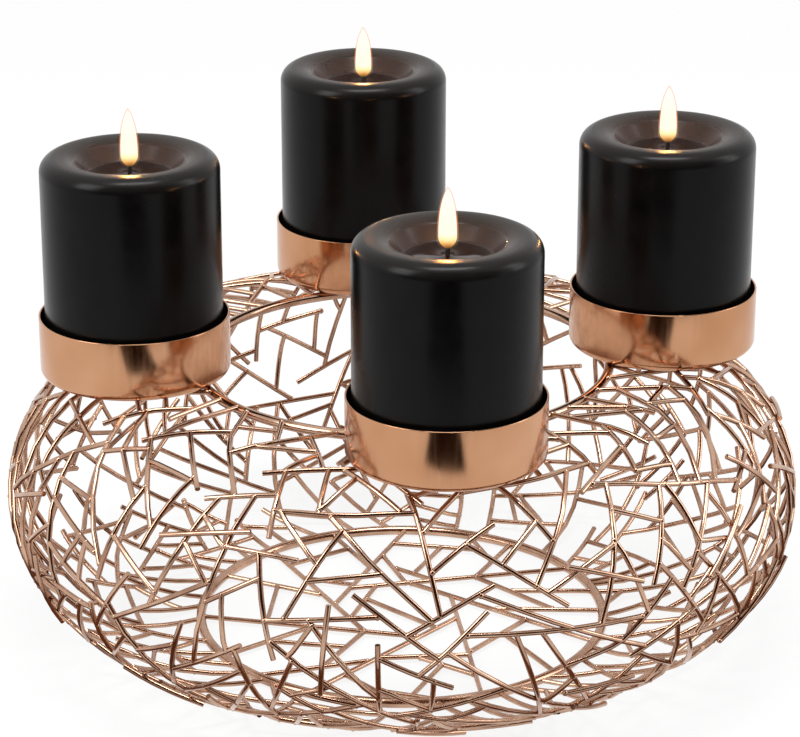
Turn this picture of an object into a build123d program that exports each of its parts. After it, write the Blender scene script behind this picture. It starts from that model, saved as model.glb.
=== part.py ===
from build123d import *
import os
import random
from math import asin, atan2, cos, degrees, dist, hypot, pi, radians, sin, sqrt

# Driving sizes in millimetres. Z is up, the front cup looks towards -Y.
CAGE_DIAMETER = 320.0        # over the net at its widest
RING_DIAMETER = 166.0        # both rings, to the middle of the rod
RING_ROD = 4.0
RING_SPANS = 32              # straight spans of each bent ring
TOP_RING_Z = 113.5           # middle of the top ring's rod
WIDEST_Z = 62.0              # height of the widest place
WIRE = 1.8                   # round wire; the solids are square bars of the same section
CLEARANCE = 0.08             # air left at a welded end

CUP_CIRCLE_RADIUS = 106.5    # cup middles, from the axis
CUP_DIAMETER = 75.0
CUP_HEIGHT = 24.0
CUP_WALL = 1.2
CUP_ROOM = 1.3               # air between a candle and the wall of its cup

CANDLE_HEIGHTS = {"front": 83.5, "right": 87.0, "back": 89.5, "left": 87.0}   # burnt down unevenly
SHOULDER_WIDTH = 3.9         # worn shoulder round the top, across
SHOULDER_DROP = 2.9          # and down
HOLLOW_DIAMETER = 40.0       # burnt hollow round the wick
HOLLOW_DEPTH = 7.5
WICK = 2.2                   # square-braided cotton
WICK_STAND = 8.5             # wick above the hollow's floor
WICK_FIT = 0.1
CANDLE_LIFT = 0.1            # air under a candle standing in its cup

# The net is laid out flat first, in cells: columns run round, rows run from ring to ring.
NET_SEED = 11
NET_COLUMNS = 50
NET_ROWS = 11
NET_NARROWING = 0.52         # width of a column at the rings, as a share of the widest
RING_STARTS = 24             # wires that start on each ring
LACING_WIRES = 32
BENT_FROM = 2.6              # a wire longer than this is bent at its middle, in cells
SHORTEST = 0.8               # shortest wire, in cells
LONGEST = 3.2                # longest wire laid at first, in cells
RUN_ON = 3.9                 # longest that a wire with a free end runs on to meet another
NEAR = 0.16                  # closest two wires come without meeting, in cells
EDGE_ROOM = 0.4              # closest a wire comes to a ring without meeting it, in cells
LACING_ROWS = (2.8, 9.6)     # rows the lacing keeps to, clear of the cups and the base
NET_ROOMS = (0.9, 0.7, 0.55, 0.44, 0.45)   # holes wider than this are crossed, round by round
FREE_SHARES = (1.0, 0.3, 0.2, 0.1, 0.0)    # and how many of a round's wires may end free
TWIGS_KEPT = 0.2             # share of the free-ended wires that carry nothing and still stay
NET_TRIES = 4000
LACING_TRIES = 20000

# The floor of the basket is laid out on a disc of radius 1, which is the base ring.
FLOOR_SPOKES = 7             # wires that start on the ring and run past its middle
FLOOR_PASS = 0.3             # how far from the middle they pass
FLOOR_CELL = 0.16            # area above which a cell is divided by one more wire

# Worked out from the sizes above.
BAR = WIRE * sqrt(pi) / 2
RING_RADIUS = RING_DIAMETER / 2
BASE_RING_Z = RING_ROD / 2
RING_TOP = TOP_RING_Z + RING_ROD / 2
CROWN_Z = RING_TOP - BAR / 2 - CLEARANCE
NET_RADIUS = CAGE_DIAMETER / 2 - BAR / 2
CUP_FLOOR_Z = RING_TOP + CLEARANCE
CANDLE_DIAMETER = CUP_DIAMETER - 2 * CUP_WALL - 2 * CUP_ROOM
CANDLE_Z = CUP_FLOOR_Z + CUP_WALL + CANDLE_LIFT
CLEAR_APART = BAR * sqrt(2) + CLEARANCE    # bars with middle lines this far apart never touch
LACING_LIFT = CLEAR_APART + 2 * CLEARANCE
SIDES = {"front": -90, "right": 0, "back": 90, "left": 180}


def net_outline():
    """Middle line of the net in the XZ plane, from the top ring round to the base ring."""
    crown = Line((RING_RADIUS, 0, CROWN_Z), (CUP_CIRCLE_RADIUS, 0, CROWN_Z))
    upper_x = NET_RADIUS - CUP_CIRCLE_RADIUS
    upper_z = CROWN_Z - WIDEST_Z
    lower_x = NET_RADIUS - RING_RADIUS
    lower_z = WIDEST_Z - BASE_RING_Z
    steps = [radians(90 * k / 12) for k in range(13)]
    upper = [Vector(CUP_CIRCLE_RADIUS + upper_x * sin(a), 0, WIDEST_Z + upper_z * cos(a)) for a in steps]
    lower = [Vector(RING_RADIUS + lower_x * cos(a), 0, WIDEST_Z - lower_z * sin(a)) for a in steps]
    return Wire([crown.edge(), Spline(upper).edge(), Spline(lower).edge()])


OUTLINE = net_outline()
OUTLINE_LENGTH = OUTLINE.length


def on_net(x, y, lift=0.0):
    """Point of the net at column x and row y, and the outward direction there."""
    reach = min(max(y / NET_ROWS, 0.0), 1.0) * OUTLINE_LENGTH
    place = OUTLINE.position_at(reach, position_mode=PositionMode.LENGTH)
    along = OUTLINE.tangent_at(reach, position_mode=PositionMode.LENGTH)
    turn = 360 * x / NET_COLUMNS
    out = Vector(-along.Z, 0, along.X).rotate(Axis.Z, turn)
    return place.rotate(Axis.Z, turn) + out * lift, out


def column_width(y):
    return NET_NARROWING + (1 - NET_NARROWING) * max(sin(pi * y / NET_ROWS), 0) ** 0.75


def nearest_turn(x, target):
    """The same column, counted so that it lies within half a round of the target."""
    return x + NET_COLUMNS * round((target - x) / NET_COLUMNS)


class FlatWire:
    """A wire of the flat layout: its two ends, and what each end is welded to."""

    def __init__(self, start, end, start_host=None, end_host=None):
        self.start = start
        self.end = end
        self.start_host = start_host
        self.end_host = end_host
        self.line = []
        self.met = []

    def at(self, share):
        x = self.start[0] + share * (self.end[0] - self.start[0])
        y = self.start[1] + share * (self.end[1] - self.start[1])
        return x, y

    def length(self):
        """Length in cells."""
        width = column_width((self.start[1] + self.end[1]) / 2)
        return hypot((self.end[0] - self.start[0]) * width, self.end[1] - self.start[1])

    def seen_from(self, x):
        """Ends of the wire, counted to lie near column x."""
        middle = (self.start[0] + self.end[0]) / 2
        shift = nearest_turn(middle, x) - middle
        return (self.start[0] + shift, self.start[1]), (self.end[0] + shift, self.end[1])


def close_by(wires, spot):
    """The wires whose middle lies within five cells of a spot."""
    found = []
    for wire in wires:
        x, y = wire.at(0.5)
        if abs(y - spot[1]) < 5 and abs(nearest_turn(x, spot[0]) - spot[0]) < 5 / column_width(spot[1]):
            found.append(wire)
    return found


def crossing(a, b, c, d):
    """Shares along a-b and c-d where the two lines cross, or None."""
    abx, aby = b[0] - a[0], b[1] - a[1]
    cdx, cdy = d[0] - c[0], d[1] - c[1]
    cross = abx * cdy - aby * cdx
    if abs(cross) < 1e-9:
        return None
    t = ((c[0] - a[0]) * cdy - (c[1] - a[1]) * cdx) / cross
    u = ((c[0] - a[0]) * aby - (c[1] - a[1]) * abx) / cross
    if 0 <= t <= 1 and 0 <= u <= 1:
        return t, u
    return None


def spot_gap(p, a, b, width):
    """Distance in cells from spot p to the line a-b."""
    px, py = (p[0] - a[0]) * width, p[1] - a[1]
    bx, by = (b[0] - a[0]) * width, b[1] - a[1]
    size = bx * bx + by * by
    share = min(max((px * bx + py * by) / size, 0), 1) if size else 0
    return hypot(px - share * bx, py - share * by)


def line_gap(a, b, c, d):
    width = column_width((a[1] + b[1]) / 2)
    return min(
        spot_gap(a, c, d, width),
        spot_gap(b, c, d, width),
        spot_gap(c, a, b, width),
        spot_gap(d, a, b, width),
    )


def steepness(a, b, c, d):
    """Sine of the angle between two flat lines."""
    width = column_width((a[1] + b[1]) / 2)
    ux, uy = (b[0] - a[0]) * width, b[1] - a[1]
    vx, vy = (d[0] - c[0]) * width, d[1] - c[1]
    return abs(ux * vy - uy * vx) / (hypot(ux, uy) * hypot(vx, vy))


def ahead_of(spot, heading, reach):
    """Flat place at a distance from a spot, in cells, along a heading."""
    return spot[0] + reach * cos(heading) / column_width(spot[1]), spot[1] + reach * sin(heading)


def first_met(neighbours, spot, end):
    """Follow the line from a spot: the place and the wire or ring met first, or the end and None."""
    host = None
    if not 0 < end[1] < NET_ROWS:
        edge = 0 if end[1] <= 0 else NET_ROWS
        share = (edge - spot[1]) / (end[1] - spot[1])
        end = (spot[0] + share * (end[0] - spot[0]), edge)
        host = "ring"
    for other in neighbours:
        met = crossing(spot, end, *other.seen_from(spot[0]))
        if met:
            end = (spot[0] + met[0] * (end[0] - spot[0]), spot[1] + met[0] * (end[1] - spot[1]))
            host = other
    return end, host


def sits_well(wire, neighbours):
    """Whether a wire is long enough, meets its hosts squarely enough and clears all the others."""
    if not SHORTEST < wire.length() < RUN_ON:
        return False
    for end, host in ((wire.start, wire.start_host), (wire.end, wire.end_host)):
        if host == "ring":
            if abs(wire.end[1] - wire.start[1]) < 0.6 * wire.length():
                return False
        elif not EDGE_ROOM < end[1] < NET_ROWS - EDGE_ROOM:
            return False
    for other in neighbours:
        c, d = other.seen_from(wire.start[0])
        if other is wire.start_host or other is wire.end_host:
            if steepness(wire.start, wire.end, c, d) < 0.55:
                return False
            share = flat_share(other, wire.start if other is wire.start_host else wire.end)
            if not 0.07 < share < 0.93:
                return False
        elif crossing(wire.start, wire.end, c, d) or line_gap(wire.start, wire.end, c, d) < NEAR:
            return False
    return True


def wire_across(wires, spot, free_share, dice):
    """A wire through an empty spot, welded to what it meets on both sides, or with one end standing free."""
    heading = radians(dice.uniform(0, 360))
    neighbours = close_by(wires, spot)
    start, start_host = first_met(neighbours, spot, ahead_of(spot, heading, -LONGEST))
    if start_host is None:
        return None
    end, end_host = first_met(neighbours, spot, ahead_of(spot, heading, LONGEST))
    wire = FlatWire(start, end, start_host, end_host)
    if wire.length() > LONGEST or end_host is None:
        if dice.random() > free_share:
            return None
        share = dice.uniform(0.4, 0.7) * LONGEST / wire.length()
        wire = FlatWire(start, wire.at(share), start_host)
    return wire if sits_well(wire, neighbours) else None


def emptiness(wires, spot):
    """Distance in cells from a spot to the nearest wire."""
    width = column_width(spot[1])
    gaps = [spot_gap(spot, *wire.seen_from(spot[0]), width) for wire in close_by(wires, spot)]
    return min(gaps, default=NET_ROWS)


def lay_net():
    """Flat layout of the net: starts on both rings, then wires laid across the widest empty places."""
    dice = random.Random(NET_SEED)
    wires = []
    for row, sign in ((0, 1), (NET_ROWS, -1)):
        for k in range(RING_STARTS):
            x = (k + dice.uniform(0.2, 0.8)) * NET_COLUMNS / RING_STARTS
            heading = sign * radians(dice.uniform(60, 120))
            wire = FlatWire((x, row), ahead_of((x, row), heading, dice.uniform(1.2, 2.2)), "ring")
            if sits_well(wire, wires):
                wires.append(wire)
    for room, free_share in zip(NET_ROOMS, FREE_SHARES):
        for attempt in range(NET_TRIES):
            spot = (dice.uniform(0, NET_COLUMNS), dice.uniform(0, NET_ROWS))
            if room < emptiness(wires, spot) < LONGEST:
                wire = wire_across(wires, spot, free_share, dice)
                if wire:
                    wires.append(wire)
        for wire in wires:
            if wire.end_host is None:
                run_on(wire, wires)
        if free_share == FREE_SHARES[-2]:
            wires = [wire for wire in wires if not is_twig(wire, wires) or dice.random() < TWIGS_KEPT]
    return wires


def is_twig(wire, wires):
    """Whether a wire ends free and carries no other."""
    carries = any(wire is other.start_host or wire is other.end_host for other in wires)
    return wire.end_host is None and not carries


def rests_on(wire, other):
    """Whether a wire is the other one, or is welded to it through the wires that carry it."""
    hosts = [host for host in (wire.start_host, wire.end_host) if isinstance(host, FlatWire)]
    return wire is other or any(rests_on(host, other) for host in hosts)


def run_on(wire, wires):
    """Lengthen a wire with a free end until it meets something, where there is room."""
    others = [other for other in close_by(wires, wire.at(0.5)) if not rests_on(other, wire)]
    ahead = [other for other in others if other is not wire.start_host]
    end, host = first_met(ahead, wire.start, wire.at(RUN_ON / wire.length()))
    longer = FlatWire(wire.start, end, wire.start_host, host)
    if host and sits_well(longer, others):
        wire.end, wire.end_host = end, host


def lay_lacing(wires):
    """Flat layout of the lacing: short straight wires, each laid over two wires of the net."""
    dice = random.Random(NET_SEED + 1)
    laced = []
    for attempt in range(LACING_TRIES):
        start = (dice.uniform(0, NET_COLUMNS), dice.uniform(*LACING_ROWS))
        heading = radians(dice.uniform(0, 180))
        reach = dice.uniform(1.1, 1.9)
        lace = FlatWire(start, ahead_of(start, heading, reach))
        if lays_fair(lace, wires, laced):
            laced.append(lace)
        if len(laced) == LACING_WIRES:
            break
    return laced


def lays_fair(lace, wires, laced):
    """Whether a lacing wire clears the other lacing and crosses just two wires, well inside its ends."""
    start, end = lace.start, lace.end
    if not LACING_ROWS[0] < end[1] < LACING_ROWS[1]:
        return False
    for other in close_by(laced, start):
        c, d = other.seen_from(start[0])
        if crossing(start, end, c, d) or line_gap(start, end, c, d) < 2 * NEAR:
            return False
    for other in close_by(wires, start):
        c, d = other.seen_from(start[0])
        met = crossing(start, end, c, d)
        if met is None:
            if line_gap(start, end, c, d) < NEAR:
                return False
            continue
        if steepness(start, end, c, d) < 0.5 or not 0.08 < met[1] < 0.92:
            return False
        lace.met.append((met[0], other, met[1]))
    lace.met.sort(key=lambda item: item[0])
    if len(lace.met) != 2:
        return False
    first, second = lace.met[0][0], lace.met[1][0]
    if first < 0.08 or second > 0.92 or second - first < 0.4:
        return False
    middle_line = Line(*lace_ends(lace))
    gaps = [middle_line.distance_to(Polyline(*other.line)) for other in close_by(wires, start)]
    return min(gaps) > CLEAR_APART


def lay_floor():
    """Layout of the floor: wires from the ring, each ending on the next, then wires across the cells."""
    dice = random.Random(NET_SEED + 2)
    spokes = []
    for k in range(FLOOR_SPOKES):
        turn = radians((k + dice.uniform(0.35, 0.65)) * 360 / FLOOR_SPOKES)
        heading = turn + pi - asin(FLOOR_PASS * dice.uniform(0.8, 1.2))
        start = (cos(turn), sin(turn))
        spokes.append(FlatWire(start, (start[0] + 2 * cos(heading), start[1] + 2 * sin(heading)), "ring"))
    ends = []
    for spoke, following in zip(spokes, spokes[1:] + spokes[:1]):
        spoke.end_host = following
        ends.append(spoke.at(crossing(spoke.start, spoke.end, following.start, following.end)[0]))
    for spoke, end in zip(spokes, ends):
        spoke.end = end
    cells = [[(ends[k - 1], spoke) for k, spoke in enumerate(spokes)]]
    for spoke in spokes:
        cells.append([(spoke.start, spoke), (spoke.end, spoke.end_host), (spoke.end_host.start, "ring")])
    return spokes + [wire for cell in cells for wire in wires_across(cell, dice)]


def wires_across(cell, dice):
    """Wires that divide a cell from its longest side to its next longest, until what is left is small.

    A cell is a list of corners, each with what the side after it lies on.
    """
    corners = [corner for corner, host in cell]
    sides = list(zip(corners, corners[1:] + corners[:1]))
    area = sum(a[0] * b[1] - a[1] * b[0] for a, b in sides) / 2
    if abs(area) < FLOOR_CELL:
        return []
    i, j = sorted(sorted(range(len(cell)), key=lambda k: -dist(*sides[k]))[:2])
    start, end = (spot_along(sides[k], cell[k][1], dice.uniform(0.4, 0.6)) for k in (i, j))
    wire = FlatWire(start, end, cell[i][1], cell[j][1])
    first = [*cell[:i + 1], (start, wire), (end, cell[j][1]), *cell[j + 1:]]
    second = [(start, cell[i][1]), *cell[i + 1:j + 1], (end, wire)]
    return [wire, *wires_across(first, dice), *wires_across(second, dice)]


def spot_along(side, host, share):
    """Spot at a share of a cell's side, moved out to the ring where the side lies on it."""
    (ax, ay), (bx, by) = side
    x, y = ax + share * (bx - ax), ay + share * (by - ay)
    reach = hypot(x, y) if host == "ring" else 1
    return x / reach, y / reach


def floor_setback(spot, host, along):
    """How far short of its flat spot the end of a floor wire has to stop."""
    if host != "ring":
        return weld_setback(along, Vector(*host.end) - Vector(*host.start), WIRE / 2)
    step = 360 / RING_SPANS
    span = degrees(atan2(spot[1], spot[0])) // step
    setbacks = []
    for neighbour in (span - 1, span, span + 1):
        facing = Vector(1, 0, 0).rotate(Axis.Z, (neighbour + 0.5) * step)
        run = Vector(0, 0, 1).cross(facing)
        sunk = RING_RADIUS * (Vector(*spot).dot(facing) - cos(radians(step / 2)))
        setbacks.append(sunk / abs(along.dot(facing)) + weld_setback(along, run, RING_ROD / 2))
    return max(setbacks)


def shape_floor_wire(wire):
    """Bar of a floor wire, level with the middle of the base ring's rod."""
    start, end = (Vector(x * RING_RADIUS, y * RING_RADIUS, BASE_RING_Z) for x, y in (wire.start, wire.end))
    along = (end - start).normalized()
    first = start + along * floor_setback(wire.start, wire.start_host, along)
    last = end - along * floor_setback(wire.end, wire.end_host, along)
    return bar_along([first, last], Vector(0, 0, 1))


def spot_on(points, share):
    """Point at a share of the length of a two or three point line, by its flat layout."""
    spans = len(points) - 1
    k = min(int(share * spans), spans - 1)
    part = share * spans - k
    return points[k] + (points[k + 1] - points[k]) * part


def flat_share(wire, spot):
    a, b = wire.seen_from(spot[0])
    return hypot(spot[0] - a[0], spot[1] - a[1]) / hypot(b[0] - a[0], b[1] - a[1])


def ring_spot(x, z):
    """Middle of the ring's rod at column x: the ring is a many-sided figure of straight spans."""
    step = 360 / RING_SPANS
    turn = 360 * x / NET_COLUMNS
    off = turn % step - step / 2
    reach = RING_RADIUS * cos(radians(step / 2)) / cos(radians(off))
    return Vector(reach, 0, z).rotate(Axis.Z, turn)


def weld_setback(axis, host_axis, host_half):
    """How far short of the host's middle line a square-cut end has to stop."""
    slope = abs(axis.normalized().dot(host_axis.normalized()))
    rise = sqrt(max(1 - slope * slope, 0.04))
    return (host_half + WIRE / 2 * slope + CLEARANCE) / rise


def host_line(host, spot):
    """Where an end meets its host: the spot on the host's middle line, its direction and half width."""
    if host is None:
        return on_net(*spot)[0], None, 0
    if host == "ring":
        turn = 360 * spot[0] / NET_COLUMNS
        z = CROWN_Z if spot[1] <= 0 else BASE_RING_Z
        return ring_spot(spot[0], z), Vector(0, 1, 0).rotate(Axis.Z, turn), RING_ROD / 2
    share = flat_share(host, spot)
    here = spot_on(host.line, share)
    ahead = spot_on(host.line, min(share + 0.02, 1)) - spot_on(host.line, max(share - 0.02, 0))
    return here, ahead, WIRE / 2


def bar_along(points, out):
    """Square bar along a line of points, its flat side facing outward."""
    face = Plane(points[0], x_dir=out, z_dir=points[1] - points[0]) * Rectangle(BAR, BAR)
    if len(points) == 2:
        return extrude(face, (points[1] - points[0]).length)
    return sweep(face, Polyline(*points), transition=Transition.RIGHT)


def settle(wire):
    """Work out a net wire's middle line, after those of the wires it is welded to."""
    if not wire.line:
        for host in (wire.start_host, wire.end_host):
            if isinstance(host, FlatWire):
                settle(host)
        start = host_line(wire.start_host, wire.start)[0]
        end = host_line(wire.end_host, wire.end)[0]
        bend = [on_net(*wire.at(0.5))[0]] if wire.length() > BENT_FROM else []
        wire.line = [start, *bend, end]


def shape_net_wire(wire):
    """Bar of a net wire, stopped short of what its ends are welded to."""
    start, start_axis, start_half = host_line(wire.start_host, wire.start)
    end, end_axis, end_half = host_line(wire.end_host, wire.end)
    out = on_net(*wire.at(0.5))[1]
    first = (wire.line[1] - start).normalized()
    last = (end - wire.line[-2]).normalized()
    bar = list(wire.line)
    bar[0] = start + first * weld_setback(first, start_axis, start_half)
    if end_axis is not None:
        bar[-1] = end - last * weld_setback(last, end_axis, end_half)
    return bar_along(bar, out)


def lace_ends(lace):
    """Ends of a lacing wire, raised over the two wires it is welded across."""
    spots = []
    for share, other, other_share in lace.met:
        out = on_net(*lace.at(share))[1]
        spots.append(spot_on(other.line, other_share) + out * LACING_LIFT)
    first, second = lace.met[0][0], lace.met[1][0]
    along = (spots[1] - spots[0]) / (second - first)
    return spots[0] - along * first, spots[1] + along * (1 - second)


def bent_ring(z):
    corners = [Vector(RING_RADIUS, 0, z).rotate(Axis.Z, 360 * k / RING_SPANS) for k in range(RING_SPANS)]
    path = Polyline(*corners, close=True)
    rod = RegularPolygon(RING_ROD / 2, 8, major_radius=False, rotation=22.5)
    start = Plane(corners[0], x_dir=(0, 0, 1), z_dir=corners[1] - corners[0])
    return sweep(start * rod, path, transition=Transition.RIGHT)


def cup():
    outside = Cylinder(CUP_DIAMETER / 2, CUP_HEIGHT, align=(Align.CENTER, Align.CENTER, Align.MIN))
    inside = Cylinder(CUP_DIAMETER / 2 - CUP_WALL, CUP_HEIGHT, align=(Align.CENTER, Align.CENTER, Align.MIN))
    return outside - Pos(0, 0, CUP_WALL) * inside


def candle(height):
    low = (Align.CENTER, Align.CENTER, Align.MIN)
    wax = Cylinder(CANDLE_DIAMETER / 2, height, align=low)
    wax = chamfer(wax.edges().group_by(Axis.Z)[-1], SHOULDER_DROP, SHOULDER_WIDTH)
    hollow = Cylinder(HOLLOW_DIAMETER / 2, HOLLOW_DEPTH, align=low)
    channel = Box(WICK + 2 * WICK_FIT, WICK + 2 * WICK_FIT, height, align=low)
    return wax - Pos(0, 0, height - HOLLOW_DEPTH) * hollow - channel


def wick(candle_height):
    height = candle_height - HOLLOW_DEPTH + WICK_STAND
    return Box(WICK, WICK, height, align=(Align.CENTER, Align.CENTER, Align.MIN))


def side_of(x):
    turn = 360 * x / NET_COLUMNS
    gaps = {name: abs((turn - angle + 180) % 360 - 180) for name, angle in SIDES.items()}
    return min(gaps, key=gaps.get)


def band_of(y):
    if y < 0.33 * NET_ROWS:
        return "upper"
    return "bulge" if y < 0.67 * NET_ROWS else "lower"


net = lay_net()
for wire in net:
    settle(wire)
lacing = lay_lacing(net)

nodes = {"top_ring": [bent_ring(TOP_RING_Z)], "base_ring": [bent_ring(BASE_RING_Z)]}

for wire in net:
    x, y = wire.at(0.5)
    name = f"{band_of(y)}_wires_{side_of(x)}"
    nodes.setdefault(name, []).append(shape_net_wire(wire))

for lace in lacing:
    x, y = lace.at(0.5)
    name = f"lacing_wires_{side_of(x)}"
    nodes.setdefault(name, []).append(bar_along(lace_ends(lace), on_net(x, y)[1]))

nodes["floor_wires"] = [shape_floor_wire(wire) for wire in lay_floor()]

nodes["candle_cups"] = []
for name, angle in SIDES.items():
    x = CUP_CIRCLE_RADIUS * cos(radians(angle))
    y = CUP_CIRCLE_RADIUS * sin(radians(angle))
    nodes["candle_cups"].append(Pos(x, y, CUP_FLOOR_Z) * cup())
    height = CANDLE_HEIGHTS[name]
    nodes[f"candle_{name}"] = [Pos(x, y, CANDLE_Z) * candle(height)]
    nodes[f"wick_{name}"] = [Pos(x, y, CANDLE_Z) * wick(height)]

os.makedirs("parts", exist_ok=True)
for name, solids in nodes.items():
    shape = Compound([solid for piece in solids for solid in piece.solids()])
    export_step(shape, f"parts/{name}.step")
    print(name, len(shape.solids()), all(solid.is_valid for solid in shape.solids()))
print("wires", len(net), "free ends", sum(wire.end_host is None for wire in net), "lacing", len(lacing))
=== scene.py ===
import logging
import math
import random
from contextlib import contextmanager
from dataclasses import dataclass, field
from enum import Enum
from typing import Iterator, Sequence

import bpy
import numpy as np
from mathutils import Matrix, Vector
from mathutils.kdtree import KDTree


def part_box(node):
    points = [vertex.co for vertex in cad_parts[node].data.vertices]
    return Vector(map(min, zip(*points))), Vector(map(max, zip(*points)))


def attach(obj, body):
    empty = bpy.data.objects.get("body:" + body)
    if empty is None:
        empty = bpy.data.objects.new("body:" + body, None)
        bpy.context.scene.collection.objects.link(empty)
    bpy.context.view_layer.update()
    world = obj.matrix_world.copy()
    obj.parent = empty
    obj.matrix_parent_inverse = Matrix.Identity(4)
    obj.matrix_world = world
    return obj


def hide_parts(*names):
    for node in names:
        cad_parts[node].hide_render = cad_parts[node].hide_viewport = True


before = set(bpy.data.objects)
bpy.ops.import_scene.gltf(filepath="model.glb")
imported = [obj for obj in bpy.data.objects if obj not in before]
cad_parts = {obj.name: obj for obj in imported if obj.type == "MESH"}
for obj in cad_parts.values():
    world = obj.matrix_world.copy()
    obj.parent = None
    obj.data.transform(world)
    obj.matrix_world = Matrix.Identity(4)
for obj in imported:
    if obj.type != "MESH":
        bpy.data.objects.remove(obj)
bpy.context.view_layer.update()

MM = 0.001
IMAGE_WIDTH_PX = 800
SENSOR_WIDTH_MM = 36.0
HOLDER = "holder"
RISE = "rise"
LOG = logging.getLogger("candle_holder")

# Nearly all of a noise pattern lies between these two values.
NOISE_LOW, NOISE_HIGH = 0.3, 0.7

Point = tuple[float, float, float]
Profile = list[tuple[float, float]]
Edge = tuple[float, float, float]  # left end, right end and Y


class Side(Enum):
    """The four places round the ring, each with a cup and a candle."""

    FRONT = "front"
    RIGHT = "right"
    BACK = "back"
    LEFT = "left"


class Layer(Enum):
    """The layers of wires in the cage that have a node on each side."""

    UPPER = "upper_wires"
    BULGE = "bulge_wires"
    LOWER = "lower_wires"
    LACING = "lacing_wires"


def linear(code: str) -> tuple[float, float, float, float]:
    """Turn an sRGB hex colour into linear RGBA.

    Args:
        code: Six hex digits with a leading hash.

    Returns:
        The colour that a shader socket takes.
    """
    parts = [int(code[k:k + 2], 16) / 255 for k in (1, 3, 5)]
    red, green, blue = (c / 12.92 if c <= 0.04045 else ((c + 0.055) / 1.055) ** 2.4 for c in parts)
    return red, green, blue, 1.0


def add_node(
    tree: bpy.types.NodeTree, kind: str, links: dict | None = None,
    stops: Sequence[tuple[float, str]] = (), **settings: object,
) -> bpy.types.Node:
    """Add a node, set its values, link its inputs and fill its colour ramp.

    Args:
        tree: The node tree that takes the node.
        kind: The node's type name, without its leading "ShaderNode".
        links: Input name or index to the node, or the output socket, that feeds it.
        stops: Position and hex colour of each stop of a colour ramp.
        **settings: Node properties, or input values by input name with spaces as underscores.

    Returns:
        The new node.
    """
    node = tree.nodes.new("ShaderNode" + kind)
    for key, value in settings.items():
        if hasattr(node, key):
            setattr(node, key, value)
        else:
            node.inputs[key.replace("_", " ")].default_value = value
    for name, source in (links or {}).items():
        socket = source.outputs[0] if isinstance(source, bpy.types.Node) else source
        tree.links.new(socket, node.inputs[name])
    for k, (position, code) in enumerate(stops):
        elements = node.color_ramp.elements
        element = elements[k] if k < 2 else elements.new(position)
        element.position = position
        element.color = linear(code)
    return node


def blank_material(name: str) -> tuple[bpy.types.Material, bpy.types.NodeTree]:
    """Make a material with an empty node tree.

    Args:
        name: The material's name.

    Returns:
        The material and its tree.
    """
    material = bpy.data.materials.new(name)
    material.use_nodes = True
    material.node_tree.nodes.clear()
    return material, material.node_tree


@dataclass(frozen=True)
class CopperPlate:
    """Copper-plated steel, lacquered: a warm pink metal with small shifts of tone and gloss."""

    name: str
    light: str
    dark: str
    roughness: tuple[float, float]
    tone_grain_mm: float
    mark_grain_mm: tuple[float, float, float]
    mark_depth: float
    mark_height_mm: float = 0.05

    def material(self) -> bpy.types.Material:
        """Build the material.

        Returns:
            The copper material.
        """
        material, tree = blank_material(self.name)
        place = add_node(tree, "TexCoord").outputs["Object"]
        tone = add_node(tree, "TexNoise", {"Vector": place}, Scale=1 / (self.tone_grain_mm * MM))
        drawn = add_node(tree, "Mapping", {"Vector": place}, Scale=[1 / (g * MM) for g in self.mark_grain_mm])
        marks = add_node(tree, "TexNoise", {"Vector": drawn}, Scale=1.0, Detail=3.0)
        tones = [(NOISE_LOW, self.dark), (NOISE_HIGH, self.light)]
        colour = add_node(tree, "ValToRGB", {"Fac": tone}, tones)
        gloss = add_node(
            tree, "MapRange", {"Value": marks},
            From_Min=NOISE_LOW, From_Max=NOISE_HIGH, To_Min=self.roughness[0], To_Max=self.roughness[1],
        )
        relief = self.mark_height_mm * MM
        bump = add_node(tree, "Bump", {"Height": marks}, Strength=self.mark_depth, Distance=relief)
        links = {"Base Color": colour, "Roughness": gloss, "Normal": bump}
        shader = add_node(tree, "BsdfPrincipled", links, Metallic=1.0)
        add_node(tree, "OutputMaterial", {"Surface": shader})
        return material


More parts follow.
